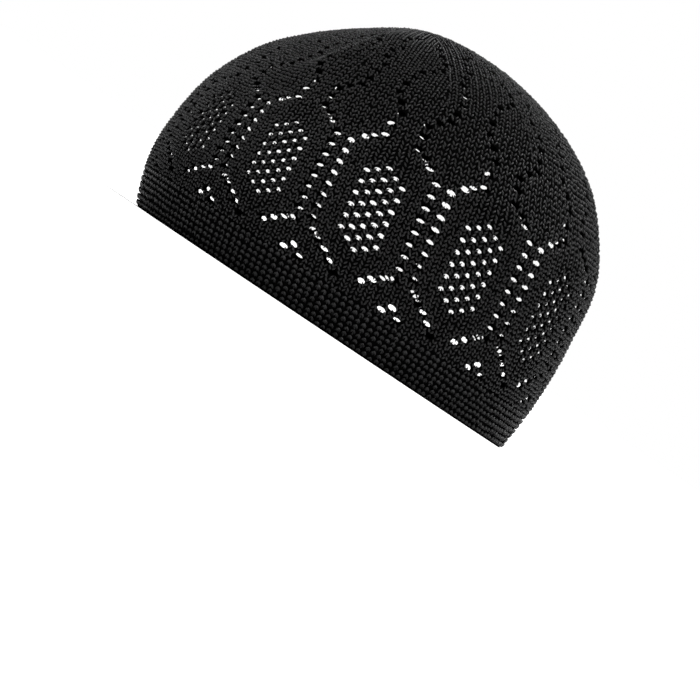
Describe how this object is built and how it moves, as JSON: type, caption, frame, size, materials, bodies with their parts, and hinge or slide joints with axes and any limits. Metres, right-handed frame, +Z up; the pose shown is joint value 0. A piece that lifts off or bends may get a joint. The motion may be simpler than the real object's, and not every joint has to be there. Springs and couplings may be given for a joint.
{
  "type": "knitted kufi",
  "caption": "Close fitting knitted kufi cap with a hexagon lace crown and a ridged garter band round the rim.",
  "frame": {"origin": "on the surface that the cap stands on, under the middle of its bounding box", "axes": "+Z up from the rim to the crown, +X towards the nape so that the forehead is at -X, +Y towards the wearer's right side"},
  "size_m": [0.2028, 0.1586, 0.1382],
  "materials": {
    "band_yarn": "black knitted yarn in garter ridges, matt with a faint sheen",
    "crown_yarn": "black knitted yarn in stocking stitch with lace holes, matt with a faint sheen"
  },
  "bodies": {
    "root": {"band": "band_yarn", "crown": "crown_yarn"}
  },
  "joints": []
}
